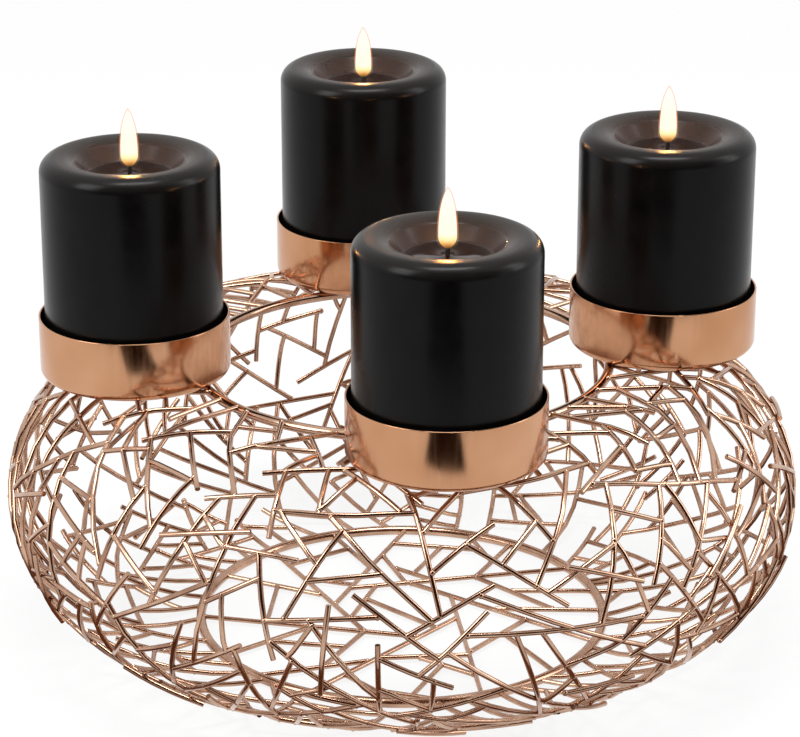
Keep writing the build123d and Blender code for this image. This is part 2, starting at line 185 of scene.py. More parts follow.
@dataclass(frozen=True)
class PillarWax:
    """Paraffin wax: a satin skin with faint cloudiness, a gloss of its own on what faces up, and a tone there
    that is painted light from above.

    The skin's real grain is finer than a pixel, so it is drawn 1.6 mm wide.
    """

    name: str
    light: str
    dark: str
    painted_top_tone: str
    roughness: tuple[float, float]
    specular: float
    cloud_grain_mm: float = 9.0
    skin_grain_mm: float = 1.6
    skin_depth: float = 0.04
    skin_height_mm: float = 0.1
    painted_top_slope: tuple[float, float] = (0.1, 0.9)
    level_slope: tuple[float, float] = (0.88, 0.99)
    bloom_roughness: float = 0.0
    ior: float = 1.44

    def material(self) -> bpy.types.Material:
        """Build the material.

        Returns:
            The wax material.
        """
        material, tree = blank_material(self.name)
        place = add_node(tree, "TexCoord").outputs["Object"]
        cloud_scale = 1 / (self.cloud_grain_mm * MM)
        clouds = add_node(tree, "TexNoise", {"Vector": place}, Scale=cloud_scale, Detail=3.0)
        skin = add_node(tree, "TexNoise", {"Vector": place}, Scale=1 / (self.skin_grain_mm * MM))
        normal = add_node(tree, "NewGeometry").outputs["Normal"]
        facing_up = add_node(tree, "SeparateXYZ", {0: normal}).outputs["Z"]
        low, high = self.painted_top_slope
        painted_top_share = add_node(tree, "MapRange", {"Value": facing_up}, From_Min=low, From_Max=high)
        low, high = self.level_slope
        level = add_node(
            tree, "MapRange", {"Value": facing_up}, From_Min=low, From_Max=high, To_Max=self.bloom_roughness,
        )
        tones = [(NOISE_LOW, self.dark), (NOISE_HIGH, self.light)]
        deep = add_node(tree, "ValToRGB", {"Fac": clouds}, tones)
        # Faces that look up get a tone of their own: painted light from above.
        colour = add_node(tree, "MixRGB", {"Fac": painted_top_share, "Color1": deep}, Color2=linear(self.painted_top_tone))
        gloss = add_node(
            tree, "MapRange", {"Value": clouds},
            From_Min=NOISE_LOW, From_Max=NOISE_HIGH, To_Min=self.roughness[0], To_Max=self.roughness[1],
        )
        dull = add_node(tree, "Math", {0: gloss, 1: level}, operation="MAXIMUM")
        relief = self.skin_height_mm * MM
        bump = add_node(tree, "Bump", {"Height": skin}, Strength=self.skin_depth, Distance=relief)
        links = {"Base Color": colour, "Roughness": dull, "Normal": bump}
        shader = add_node(tree, "BsdfPrincipled", links, IOR=self.ior, Specular_IOR_Level=self.specular)
        add_node(tree, "OutputMaterial", {"Surface": shader})
        return material


@dataclass(frozen=True)
class CharredCotton:
    """Braided cotton burnt black, with a glowing tip."""

    name: str = "charred_cotton_wick"
    ash: str = "#2A221D"
    soot: str = "#0A0807"
    ember: str = "#FF7A1E"
    braid_mm: float = 0.9
    soot_until: float = 0.35
    ash_from: float = 0.7
    roughness: float = 0.9
    ember_from: float = 0.8
    ember_strength: float = 1.6

    def material(self) -> bpy.types.Material:
        """Build the material.

        Returns:
            The wick material.
        """
        material, tree = blank_material(self.name)
        place = add_node(tree, "TexCoord").outputs["Object"]
        braid = add_node(tree, "TexNoise", {"Vector": place}, Scale=1 / (self.braid_mm * MM))
        tones = [(self.soot_until, self.soot), (self.ash_from, self.ash)]
        colour = add_node(tree, "ValToRGB", {"Fac": braid}, tones)
        rise = add_node(tree, "Attribute", attribute_name=RISE).outputs["Fac"]
        glow = add_node(
            tree, "MapRange", {"Value": rise}, From_Min=self.ember_from, To_Max=self.ember_strength,
        )
        shader = add_node(
            tree, "BsdfPrincipled", {"Base Color": colour, "Emission Strength": glow},
            Roughness=self.roughness, Emission_Color=linear(self.ember),
        )
        add_node(tree, "OutputMaterial", {"Surface": shader})
        return material


@dataclass(frozen=True)
class FlameGlow:
    """Burning wax vapour: light only, clear at its foot, orange low down and nearly white above."""

    name: str
    stops: tuple[tuple[float, str], ...]
    strength: float
    cover: tuple[float, float]
    cover_from: tuple[float, float]

    def material(self) -> bpy.types.Material:
        """Build the material.

        Returns:
            The flame material.
        """
        material, tree = blank_material(self.name)
        rise = add_node(tree, "Attribute", attribute_name=RISE).outputs["Fac"]
        colour = add_node(tree, "ValToRGB", {"Fac": rise}, self.stops)
        (low, high), (thin, thick) = self.cover_from, self.cover
        cover = add_node(
            tree, "MapRange", {"Value": rise}, From_Min=low, From_Max=high, To_Min=thin, To_Max=thick,
        )
        shader = add_node(
            tree, "BsdfPrincipled", {"Emission Color": colour, "Alpha": cover},
            Base_Color=linear("#000000"), Roughness=1.0, Specular_IOR_Level=0.0,
            Emission_Strength=self.strength,
        )
        add_node(tree, "OutputMaterial", {"Surface": shader})
        return material


# Drawn steel wire, plated and lacquered: pale pink copper, bright enough to mirror the room. The marks of
# drawing are finer than a pixel, so they are drawn as clouds of 1.2 mm in its gloss.
WIRE_COPPER = CopperPlate(
    "copper_plated_drawn_wire", "#CEAA91", "#A27D67", (0.10, 0.20), 14.0, (1.2, 1.2, 1.2), 0.12,
)
# Spun sheet, plated and polished: a warmer and more even copper with faint upright polishing marks.
CUP_COPPER = CopperPlate(
    "copper_plated_spun_sheet", "#CC9B78", "#BC8864", (0.12, 0.20), 30.0, (1.6, 1.6, 30.0), 0.05,
)
# Black moulded paraffin: deep black with a soft sheen on its side, and a duller top painted grey as light
# from above.
BLACK_WAX = PillarWax(
    "moulded_black_paraffin", "#0A0909", "#060505", "#1D1B1A", (0.22, 0.28), 0.14, bloom_roughness=0.34,
)
# Wax that melted and set again round the flame: painted dark brown, a painted glow of the flame's light
# showing through it.
FLAME_LIT_WAX = PillarWax("melted_paraffin_painted_flame_glow", "#170F0B", "#0F0907", "#170F0B", (0.24, 0.32), 0.35)
# Liquid wax: nearly black, with the sharp gloss of a wet surface.
LIQUID_WAX = PillarWax(
    "liquid_paraffin_pool", "#120B08", "#0B0705", "#0E0806", (0.04, 0.08), 0.5, skin_depth=0.02,
)
# Braided cotton, burnt: dull black with traces of ash, and an ember at its tip.
WICK_COTTON = CharredCotton()
# The bright inside of the flame: nearly white, and orange and clear at its foot.
FLAME_CORE = FlameGlow(
    "flame_core",
    ((0.0, "#C8702A"), (0.10, "#FFB04A"), (0.19, "#FFE3A0"), (0.30, "#FFFBEC"), (1.0, "#FFFFFA")),
    1.3, (0.06, 1.0), (0.02, 0.20),
)
# The thin skin round it: a faint orange edge.
FLAME_MANTLE = FlameGlow(
    "flame_mantle",
    ((0.0, "#C9B4AC"), (0.22, "#F0C79A"), (0.45, "#FF9A45"), (1.0, "#FFB877")),
    0.95, (0.0, 0.26), (0.08, 0.36),
)


def deselect_all() -> None:
    """Leave edit mode and deselect every object."""
    if bpy.context.object and bpy.context.object.mode != "OBJECT":
        bpy.ops.object.mode_set(mode="OBJECT")
    bpy.ops.object.select_all(action="DESELECT")


def select_only(thing: bpy.types.Object) -> None:
    """Make one object the only selected and the active one.

    Args:
        thing: The object.
    """
    deselect_all()
    thing.select_set(True)
    bpy.context.view_layer.objects.active = thing


@contextmanager
def mesh_editing() -> Iterator[None]:
    """Edit the active object's mesh, with all of it selected at the start."""
    bpy.ops.object.mode_set(mode="EDIT")
    bpy.ops.mesh.select_all(action="SELECT")
    yield
    bpy.ops.object.mode_set(mode="OBJECT")


def seat_at_origin(thing: bpy.types.Object) -> None:
    """Move an object's place into its mesh."""
    select_only(thing)
    bpy.ops.object.transform_apply(location=True, rotation=True, scale=True)


def smooth(thing: bpy.types.Object, degrees: float) -> None:
    """Shade an object smooth, with edges sharper than an angle kept."""
    select_only(thing)
    bpy.ops.object.shade_smooth_by_angle(angle=math.radians(degrees))


def copied(
    thing: bpy.types.Object, name: str, shift: Sequence[float],
    stretch: float = 1.0, foot: Sequence[float] = (0, 0, 0),
) -> bpy.types.Object:
    """Copy a piece to another place, with a mesh of its own.

    Args:
        thing: The piece.
        name: The copy's name.
        shift: How far to move it.
        stretch: How much taller to make it.
        foot: The place that stays where it is while the piece is made taller.

    Returns:
        The copy.
    """
    select_only(thing)
    bpy.ops.object.duplicate(linked=False)
    copy = bpy.context.object
    copy.name = name
    with mesh_editing():
        bpy.ops.transform.resize(value=(1, 1, stretch), center_override=foot)
        bpy.ops.transform.translate(value=shift)
    return copy


def turned(name: str, profile: Profile, centre: Sequence[float], segments: int) -> bpy.types.Object:
    """Turn a profile round a vertical axis: a disc whose edge is extruded and sized ring by ring.

    Args:
        name: The piece's name.
        profile: Radius and height of each ring in metres, from the middle of the underside round to the top.
        centre: X and Y of the axis in metres.
        segments: Sides of the round.

    Returns:
        The closed piece.
    """
    deselect_all()
    radius, height = profile[0]
    bpy.ops.mesh.primitive_circle_add(
        vertices=segments, radius=radius, fill_type="NGON", location=(*centre, height),
    )
    thing = bpy.context.object
    thing.name = name
    with mesh_editing():
        bpy.ops.mesh.select_mode(type="EDGE")
        bpy.ops.mesh.flip_normals()
        bpy.ops.mesh.region_to_loop()
        for new_radius, new_height in profile[1:]:
            bpy.ops.mesh.extrude_edges_move(TRANSFORM_OT_translate={"value": (0, 0, new_height - height)})
            grow = new_radius / radius
            bpy.ops.transform.resize(value=(grow, grow, 1), center_override=(*centre, new_height))
            radius, height = new_radius, new_height
        bpy.ops.mesh.edge_face_add()
        bpy.ops.mesh.select_all(action="SELECT")
        bpy.ops.mesh.normals_make_consistent(inside=False)
    seat_at_origin(thing)
    return thing


def arc(centre: tuple[float, float], radius: float, start: float, end: float, steps: int) -> Profile:
    """Points of an arc in a profile, both ends included. Angles are in degrees, 0 outward and 90 up."""
    angles = [math.radians(start + (end - start) * k / steps) for k in range(steps + 1)]
    return [(centre[0] + radius * math.cos(a), centre[1] + radius * math.sin(a)) for a in angles]


def mark_rise(thing: bpy.types.Object) -> None:
    """Note on each corner of a piece how far up it lies, from 0 to 1, for its material.

    Args:
        thing: The piece.
    """
    heights = np.array([v.co.z for v in thing.data.vertices])
    rise = thing.data.attributes.new(RISE, "FLOAT", "POINT")
    rise.data.foreach_set("value", (heights - heights.min()) / np.ptp(heights))


def dress(thing: bpy.types.Object, *materials: bpy.types.Material) -> None:
    """Give an object its materials, in slot order.

    Args:
        thing: The object.
        *materials: The materials.
    """
    thing.data.materials.clear()
    for material in materials:
        thing.data.materials.append(material)


def settle(
    thing: bpy.types.Object, body: str, slot: str, materials: Sequence[bpy.types.Material], *nodes: str,
) -> None:
    """Dress a piece, seat it on its body and report it.

    Args:
        thing: The piece.
        body: The body that carries it.
        slot: The record's slot that its finish belongs to; not used.
        materials: Its materials, in slot order.
        *nodes: The nodes that it stands for.
    """
    dress(thing, *materials)
    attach(thing, body)
    if nodes:
        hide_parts(*nodes)
    LOG.info("%s: %d faces on %s", thing.name, len(thing.data.polygons), body)


def candle_axis(side: Side) -> tuple[float, float]:
    """X and Y of a candle's middle in metres."""
    low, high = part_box(f"candle_{side.value}")
    return (low[0] + high[0]) / 2, (low[1] + high[1]) / 2


def run_length(path: np.ndarray) -> np.ndarray:
    """Distance along a line of points to each of them."""
    return np.concatenate([[0], np.cumsum(np.linalg.norm(np.diff(path, axis=0), axis=1))])


def resampled(path: np.ndarray, spans: int) -> np.ndarray:
    """Space points evenly along a line.

    Args:
        path: The line's points.
        spans: How many equal spans to make.

    Returns:
        The new points, both ends included.
    """
    steps = run_length(path)
    places = np.linspace(0, steps[-1], max(spans, 1) + 1)
    return np.stack([np.interp(places, steps, path[:, k]) for k in range(3)], axis=1)


def dense(path: np.ndarray, spacing: float) -> np.ndarray:
    """Points along a line, no further apart than a spacing."""
    return resampled(path, math.ceil(run_length(path)[-1] / spacing))


@dataclass
class WireCage:
    """The ring-shaped cage: two bent rings and a net of short wires welded between them."""

    wire: float = 2.1 * MM
    rod: float = 4.0 * MM
    widest_z: float = 62.0 * MM
    lacing_lift: float = 0.9  # in wire thicknesses
    weld_reach: float = 2.3 * MM
    weld_size: float = 1.22 * MM
    weld_spread: tuple[float, float] = (0.85, 1.1)
    weld_seed: int = 4
    end_reach: float = 0.9 * MM
    spans: int = 5
    ring_spans: int = 144
    ring_sides: int = 16
    seam_turn: float = 0.8  # radians round the ring
    seam_length: float = 1.5 * MM
    seam_swell: float = 0.12
    paths: dict[str, list[np.ndarray]] = field(default_factory=dict)
    ring_radius: float = field(init=False)
    top_ring_z: float = field(init=False)
    base_ring_z: float = field(init=False)
    crown_z: float = field(init=False)
    crown_radius: float = field(init=False)
    net_radius: float = field(init=False)

    def __post_init__(self) -> None:
        """Take the cage's main sizes from the frame."""
        low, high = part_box("top_ring")
        self.ring_radius = (high[0] - low[0]) / 2 - self.rod / 2
        self.top_ring_z = (low[2] + high[2]) / 2
        self.base_ring_z = sum(c[2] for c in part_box("base_ring")) / 2
        self.crown_z = high[2] - self.wire / 2
        self.crown_radius = math.hypot(*candle_axis(Side.FRONT))
        self.net_radius = max(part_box(f"bulge_wires_{side.value}")[1][0] for side in Side) - self.wire / 2

    def skin(self, spot: np.ndarray, lift: float) -> np.ndarray:
        """Move a spot onto the smooth skin that the wires follow.

        Args:
            spot: The spot in metres.
            lift: Distance to stand out from the skin.

        Returns:
            The spot on the skin.
        """
        reach, z = math.hypot(spot[0], spot[1]), spot[2]
        if z >= self.widest_z and reach <= self.crown_radius:
            new_reach, new_z, out = reach, self.crown_z, (0.0, 1.0)
        else:
            upper = z >= self.widest_z
            middle = self.crown_radius if upper else self.ring_radius
            wide = self.net_radius - middle
            tall = self.crown_z - self.widest_z if upper else self.widest_z - self.base_ring_z
            across, up = reach - middle, z - self.widest_z
            size = math.hypot(across / wide, up / tall)
            new_reach, new_z = middle + across / size, self.widest_z + up / size
            steep = math.hypot(across / wide ** 2, up / tall ** 2)
            out = (across / wide ** 2 / steep, up / tall ** 2 / steep)
        new_reach += lift * out[0]
        return np.array([spot[0] / reach * new_reach, spot[1] / reach * new_reach, new_z + lift * out[1]])

    def read_bars(self, node: str) -> list[np.ndarray]:
        """Find the middle line of each wire in a node.

        Args:
            node: The node's name.

        Returns:
            One array of points for each wire, from end to end.
        """
        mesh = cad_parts[node].data
        spots = np.array([v.co for v in mesh.vertices])
        unique, index = np.unique(np.round(spots, 6), axis=0, return_inverse=True)
        corner = index.reshape(-1)
        owner = list(range(len(unique)))

        def root(k: int) -> int:
            """Follow the links from a corner to the one that stands for its wire.

            Args:
                k: The corner's index.

            Returns:
                The index of the corner that stands for the wire.
            """
            while owner[k] != k:
                owner[k] = owner[owner[k]]
                k = owner[k]
            return k

        for edge in mesh.edges:
            a, b = (root(int(corner[k])) for k in edge.vertices)
            owner[a] = b
        groups: dict[int, list[int]] = {}
        for k in range(len(unique)):
            groups.setdefault(root(k), []).append(k)
        return [self.middle_line(unique[members]) for members in groups.values()]

    def middle_line(self, corners: np.ndarray) -> np.ndarray:
        """Middle of each ring of four corners along a square bar, run on into the welds.

        Args:
            corners: The bar's corners.

        Returns:
            The middles, in order along the bar.
        """
        along = np.linalg.svd(corners - corners.mean(axis=0))[2][0]
        order = np.argsort(corners @ along)
        rings = max(len(corners) // 4, 2)
        line = np.array([corners[ring].mean(axis=0) for ring in np.array_split(order, rings)])
        first, last = line[0] - line[1], line[-1] - line[-2]
        line[0] += first / np.linalg.norm(first) * self.end_reach
        line[-1] += last / np.linalg.norm(last) * self.end_reach
        return line

    def bow(self, line: np.ndarray, lift: float) -> np.ndarray:
        """Bend a wire's middle line so that it follows the cage's skin, a lift away from it."""
        return np.array([self.skin(spot, lift) for spot in resampled(line, self.spans)])

    def wire_bundle(self, name: str) -> bpy.types.Object:
        """Model a group of round wires as one bundle of drawn tubes.

        Args:
            name: The group's name.

        Returns:
            The bundle.
        """
        deselect_all()
        bpy.ops.curve.primitive_nurbs_path_add(location=(0, 0, 0))
        bundle = bpy.context.object
        curve = bundle.data
        curve.splines.clear()
        for path in self.paths[name]:
            spline = curve.splines.new("POLY")
            spline.points.add(len(path) - 1)
            for point, spot in zip(spline.points, path):
                point.co = (*spot, 1.0)
        curve.bevel_depth = self.wire / 2
        curve.bevel_resolution = 2
        curve.use_fill_caps = True
        bpy.ops.object.convert(target="MESH")
        bundle = bpy.context.object
        bundle.name = f"round_{name}"
        with mesh_editing():
            bpy.ops.mesh.remove_doubles(threshold=0.01 * MM)
            bpy.ops.mesh.normals_make_consistent(inside=False)
        smooth(bundle, degrees=50)
        return bundle

    def round_ring(self, node: str, z: float) -> bpy.types.Object:
        """Model a ring of bent round rod, with its butt weld.

        Args:
            node: The node that it stands for.
            z: Height of the rod's middle.

        Returns:
            The ring.
        """
        deselect_all()
        bpy.ops.mesh.primitive_torus_add(
            major_radius=self.ring_radius, minor_radius=self.rod / 2,
            major_segments=self.ring_spans, minor_segments=self.ring_sides, location=(0, 0, z),
        )
        ring = bpy.context.object
        ring.name = f"round_{node}"
        seat_at_origin(ring)
        for vertex in ring.data.vertices:
            turn = math.atan2(vertex.co.y, vertex.co.x)
            along = (turn - self.seam_turn) * self.ring_radius / self.seam_length
            swell = 1 + self.seam_swell * math.exp(-along ** 2)
            middle = Vector((math.cos(turn) * self.ring_radius, math.sin(turn) * self.ring_radius, z))
            vertex.co = middle + (vertex.co - middle) * swell
        smooth(ring, degrees=60)
        return ring

    def ring_spots(self, offset: float, count: int = 520) -> np.ndarray:
        """Points close together round both rings.

        Args:
            offset: How far outside the rod's middle the points lie.
            count: How many there are on each ring.

        Returns:
            The points.
        """
        reach = self.ring_radius + offset
        turns = np.linspace(0, 2 * math.pi, count, endpoint=False)
        levels = (self.crown_z, self.base_ring_z)
        return np.array([(reach * math.cos(a), reach * math.sin(a), z) for z in levels for a in turns])

    def weld_places(self) -> list[np.ndarray]:
        """Find the wire ends that meet another wire or a ring.

        Returns:
            The places of the welds.
        """
        lines = [path for group in self.paths.values() for path in group]
        edge = (self.rod - self.wire) / 2
        spots = [*self.ring_spots(edge), *self.ring_spots(-edge)]
        owners = [-1] * len(spots)
        for owner, path in enumerate(lines):
            close = dense(path, MM)
            spots.extend(close)
            owners.extend([owner] * len(close))
        tree = KDTree(len(spots))
        for k, spot in enumerate(spots):
            tree.insert(spot, k)
        tree.balance()
        places = []
        for owner, path in enumerate(lines):
            for end in (path[0], path[-1]):
                near = tree.find_range(end, self.weld_reach)
                if any(owners[k] != owner for _, k, _ in near):
                    places.append(end)
        return places

    def weld_spots(self) -> bpy.types.Object:
        """Model one weld spot and set a copy of it at each welded end.

        Returns:
            All the weld spots as one piece.
        """
        deselect_all()
        bpy.ops.mesh.primitive_uv_sphere_add(segments=8, ring_count=5, radius=1.0)
        bead = bpy.context.object
        shape = np.array([v.co for v in bead.data.vertices])
        faces = [tuple(f.vertices) for f in bead.data.polygons]
        dice = random.Random(self.weld_seed)
        spots, sides = [], []
        for place in self.weld_places():
            size = [self.weld_size * dice.uniform(*self.weld_spread) for _ in range(3)]
            start = len(spots)
            spots.extend(map(tuple, shape * size + place))
            sides.extend(tuple(k + start for k in face) for face in faces)
        bead.data.clear_geometry()
        bead.data.from_pydata(spots, [], sides)
        bead.name = "weld_spots"
        smooth(bead, degrees=180)
        return bead

    def build(self) -> None:
        """Model the wires, rings and welds, dress them and seat them on the holder."""
        copper = WIRE_COPPER.material()
        for layer in Layer:
            lift = self.wire * self.lacing_lift if layer is Layer.LACING else 0.0
            for side in Side:
                node = f"{layer.value}_{side.value}"
                self.paths[node] = [self.bow(line, lift) for line in self.read_bars(node)]
        # The fine wires fill the net alone, so the floor's wires come after them.
        fine = NetFiller(self).fill()
        self.paths["floor_wires"] = self.read_bars("floor_wires")
        nodes = list(self.paths)
        self.paths.update(fine)
        for name in self.paths:
            replaced = [name] if name in nodes else []
            settle(self.wire_bundle(name), HOLDER, "copper_wire", [copper], *replaced)
        for node, z in (("top_ring", self.top_ring_z), ("base_ring", self.base_ring_z)):
            settle(self.round_ring(node, z), HOLDER, "copper_wire", [copper], node)
        settle(self.weld_spots(), HOLDER, "copper_wire", [copper])


@dataclass
class NetFiller:
    """Lays the finer wires of the net across the holes that the main wires leave."""

    cage: WireCage
    rooms: tuple[float, ...] = (12 * MM, 10 * MM, 8 * MM, 5.9 * MM)  # radius of an empty spot, round by round
    reaches: tuple[float, ...] = (58 * MM, 48 * MM, 40 * MM, 34 * MM)  # longest wire, round by round
    tries: int = 2200
    step: float = 0.9 * MM
    touch: float = 0.95 * MM
    shortest: float = 9 * MM
    squareness: float = 0.86  # cosine of the flattest angle between two wires that meet
    spacing: float = 0.8 * MM
    probe: float = 1.0 * MM
    level: float = 0.9  # upward share from which the skin counts as flat
    seed: int = 7
    dice: random.Random = field(init=False)
    spots: np.ndarray = field(init=False)
    ways: np.ndarray = field(init=False)

    def __post_init__(self) -> None:
        """Gather points along every wire of the net, each with the wire's direction there."""
        self.dice = random.Random(self.seed)
        self.spots = self.cage.ring_spots((self.cage.rod - self.cage.wire) / 2)
        self.ways = np.stack([-self.spots[:, 1], self.spots[:, 0], 0 * self.spots[:, 0]], axis=1)
        self.ways /= np.linalg.norm(self.ways, axis=1)[:, None]
        for name, paths in self.cage.paths.items():
            if not name.startswith(Layer.LACING.value):
                for path in paths:
                    self.add(path)

    def add(self, path: np.ndarray) -> None:
        """Take a wire into the net.

        Args:
            path: The wire's middle line.
        """
        close = dense(path, self.spacing)
        ways = np.gradient(close, axis=0)
        ways /= np.linalg.norm(ways, axis=1)[:, None]
        self.spots = np.concatenate([self.spots, close])
        self.ways = np.concatenate([self.ways, ways])

    def follow(self, spot: np.ndarray, heading: np.ndarray, reach: float) -> np.ndarray | None:
        """Follow the skin from a spot until another wire is met squarely enough.

        Args:
            spot: The start.
            heading: The direction to set out in.
            reach: How far to go at most.

        Returns:
            The points up to the middle of the wire that is met, or None.
        """
        close = np.linalg.norm(self.spots - spot, axis=1) < reach + self.touch
        spots, ways = self.spots[close], self.ways[close]
        path = [spot]
        for _ in range(int(reach / self.step)):
            ahead = self.cage.skin(path[-1] + heading * self.step, 0.0)
            heading = (ahead - path[-1]) / np.linalg.norm(ahead - path[-1])
            path.append(ahead)
            gaps = np.linalg.norm(spots - ahead, axis=1)
            nearest = int(gaps.argmin())
            if gaps[nearest] < self.touch:
                if abs(float(ways[nearest] @ heading)) > self.squareness:
                    return None
                return np.array([*path, spots[nearest]])
        return None

    def random_spot(self) -> np.ndarray:
        """Pick a place on the skin, all of it alike.

        Returns:
            The place.
        """
        cage = self.cage
        while True:
            turn = self.dice.uniform(0, 2 * math.pi)
            tilt = self.dice.uniform(-0.5, 0.5) * math.pi
            wide = cage.net_radius - cage.ring_radius
            reach = cage.ring_radius + wide * math.cos(tilt)
            z = cage.widest_z + (cage.crown_z - cage.widest_z) * math.sin(tilt)
            if self.dice.random() < reach / cage.net_radius:
                return cage.skin(np.array([reach * math.cos(turn), reach * math.sin(turn), z]), 0.0)

    def wire_across(self, spot: np.ndarray, longest: float) -> np.ndarray | None:
        """Lay a wire through an empty spot, from the wire met on one side to that on the other.

        Args:
            spot: The empty spot.
            longest: Longest wire to lay.

        Returns:
            The wire's middle line, or None where it would be too long or too short.
        """
        out = self.cage.skin(spot, self.probe) - spot
        faces_up = abs(out[2]) >= self.level * self.probe
        side = np.cross(out, (1.0, 0.0, 0.0) if faces_up else (0.0, 0.0, 1.0))
        side /= np.linalg.norm(side)
        up = np.cross(out / np.linalg.norm(out), side)
        turn = self.dice.uniform(0, math.pi)
        heading = side * math.cos(turn) + up * math.sin(turn)
        ahead = self.follow(spot, heading, longest)
        back = self.follow(spot, -heading, longest) if ahead is not None else None
        if back is None:
            return None
        path = np.concatenate([back[::-1], ahead[1:]])
        return path if self.shortest < run_length(path)[-1] < longest else None

    def fill(self) -> dict[str, list[np.ndarray]]:
        """Lay wires across the holes, the widest holes first.

        Returns:
            The new wires' middle lines, by group.
        """
        groups: dict[str, list[np.ndarray]] = {}
        for room, longest in zip(self.rooms, self.reaches):
            for _ in range(self.tries):
                spot = self.random_spot()
                if np.linalg.norm(self.spots - spot, axis=1).min() < room:
                    continue
                path = self.wire_across(spot, longest)
                if path is not None:
                    self.add(path)
                    group = f"fine_wires_{self.side_of(spot).value}"
                    groups.setdefault(group, []).append(resampled(path, self.cage.spans))
        for name, paths in groups.items():
            LOG.info("%s: %d wires", name, len(paths))
        return groups

    @staticmethod
    def side_of(spot: np.ndarray) -> Side:
        """Tell which side a spot is on.

        Args:
            spot: The spot.

        Returns:
            The side.
        """
        if abs(spot[0]) > abs(spot[1]):
            return Side.RIGHT if spot[0] > 0 else Side.LEFT
        return Side.BACK if spot[1] > 0 else Side.FRONT


@dataclass
class CandleCups:
    """Four spun cups with a rounded foot and a thin plain rim."""

    wall: float = 0.7 * MM
    foot: float = 3.0 * MM
    rim: float = 0.2 * MM
    middle: float = 0.4  # share of the radius where the section starts and ends
    segments: int = 128

    def profile(self, radius: float, low: float, high: float) -> Profile:
        """Section of a cup, from the middle of its underside round the rim to the middle of its floor.

        Args:
            radius: Outer radius.
            low: Height of the underside.
            high: Height of the rim.

        Returns:
            The section's points.
        """
        inner = radius - self.wall
        outside = arc((radius - self.foot, low + self.foot), self.foot, -90, 0, steps=8)
        rim_out = arc((radius - self.rim, high - self.rim), self.rim, 0, 90, steps=3)
        rim_in = arc((inner + self.rim, high - self.rim), self.rim, 90, 180, steps=3)
        inner_foot = self.foot - self.wall
        inside = arc((inner - inner_foot, low + self.foot), inner_foot, 0, -90, steps=6)
        start = radius * self.middle
        return [(start, low), *outside, *rim_out, *rim_in, *inside, (start, low + self.wall)]

    def build(self) -> None:
        """Model a cup, copy it to the other candles, dress the cups and seat them on the holder."""
        low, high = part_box("candle_cups")
        copper = CUP_COPPER.material()
        first = candle_axis(Side.FRONT)
        radius = (high[0] - low[0]) / 2 - math.hypot(*first)
        cup = turned("spun_cup_front", self.profile(radius, low[2], high[2]), first, self.segments)
        smooth(cup, degrees=40)
        for side in (Side.RIGHT, Side.BACK, Side.LEFT):
            x, y = candle_axis(side)
            copy = copied(cup, f"spun_cup_{side.value}", (x - first[0], y - first[1], 0))
            settle(copy, HOLDER, "copper_sheet", [copper])
        settle(cup, HOLDER, "copper_sheet", [copper], "candle_cups")


@dataclass
class PillarCandles:
    """Four burnt-down pillar candles, each with a round shoulder and a hollow round the wick.

    The top curves down from the shoulder to a lip, where the wall of the hollow starts. Tilts are in degrees.
    """

    shoulder: float = 6.0 * MM
    foot: float = 1.2 * MM
    lip: float = 2.2 * MM
    lip_tilt: float = 24.0
    wall_tilt: float = 52.0
    hollow_radius: float = 21.7 * MM
    pool_radius: float = 16.0 * MM
    hollow_depth: float = 7.5 * MM
    fillet: float = 1.5 * MM
    pool_sag: float = 0.1 * MM
    sag_share: float = 0.6
    underside_share: float = 0.5
    creep_radius: float = 2.2 * MM
    creep_height: float = 0.5 * MM
    wick_hole: float = 1.3 * MM
    segments: int = 112

    def wax(self, side: Side) -> bpy.types.Object:
        """Model the wax of a candle.

        Args:
            side: The candle's place.

        Returns:
            The wax, with its hollow.
        """
        low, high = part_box(f"candle_{side.value}")
        radius, top, bottom = (high[0] - low[0]) / 2, high[2], low[2]
        foot = arc((radius - self.foot, bottom + self.foot), self.foot, -90, 0, steps=3)
        crest_middle = radius - self.shoulder
        shoulder = arc((crest_middle, top - self.shoulder), self.shoulder, 0, 90, steps=12)
        tilt = math.radians(self.lip_tilt)
        crest_radius = (crest_middle - self.hollow_radius) / math.sin(tilt)
        crest = arc((crest_middle, top - crest_radius), crest_radius, 90, 90 + self.lip_tilt, steps=8)
        lip_middle = crest[-1][0] + self.lip * math.sin(tilt), crest[-1][1] - self.lip * math.cos(tilt)
        lip = arc(lip_middle, self.lip, 90 + self.lip_tilt, 90 + self.wall_tilt, steps=4)
        floor = top - self.hollow_depth
        wall_foot = (self.pool_radius, floor + self.fillet)
        wall = arc(wall_foot, self.fillet, self.wall_tilt - 90, -90, steps=4)
        pool = [
            (self.pool_radius * self.sag_share, floor - self.pool_sag),
            (self.creep_radius, floor), (self.wick_hole, floor + self.creep_height),
        ]
        start = (radius * self.underside_share, bottom)
        profile = [start, *foot, *shoulder, *crest[1:], *lip[1:], *wall, *pool]
        wax = turned(f"wax_{side.value}", profile, candle_axis(side), self.segments)
        smooth(wax, degrees=60)
        return wax

    def melt(self, wax: bpy.types.Object, side: Side) -> None:
        """Give the hollow wax painted dark brown as the flame's glow, and the pool at its floor liquid wax.

        Args:
            wax: The candle's wax, dressed.
            side: The candle's place.
        """
        middle = Vector(candle_axis(side))
        floor_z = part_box(f"candle_{side.value}")[1][2] - self.hollow_depth
        # Slot 1 is the wax painted dark brown as painted flame glow; slot 2 is the liquid wax.
        warm, liquid = 1, 2
        for face in wax.data.polygons:
            reach, rise = (face.center.xy - middle).length, face.center.z - floor_z
            if reach < self.hollow_radius and rise > -MM:
                face.material_index = liquid if reach < self.pool_radius and rise < MM else warm

    def build(self) -> None:
        """Model the candles, dress them and seat each on its body."""
        finishes = [BLACK_WAX.material(), FLAME_LIT_WAX.material(), LIQUID_WAX.material()]
        for side in Side:
            node = f"candle_{side.value}"
            wax = self.wax(side)
            settle(wax, node, "wax", finishes, node)
            self.melt(wax, side)


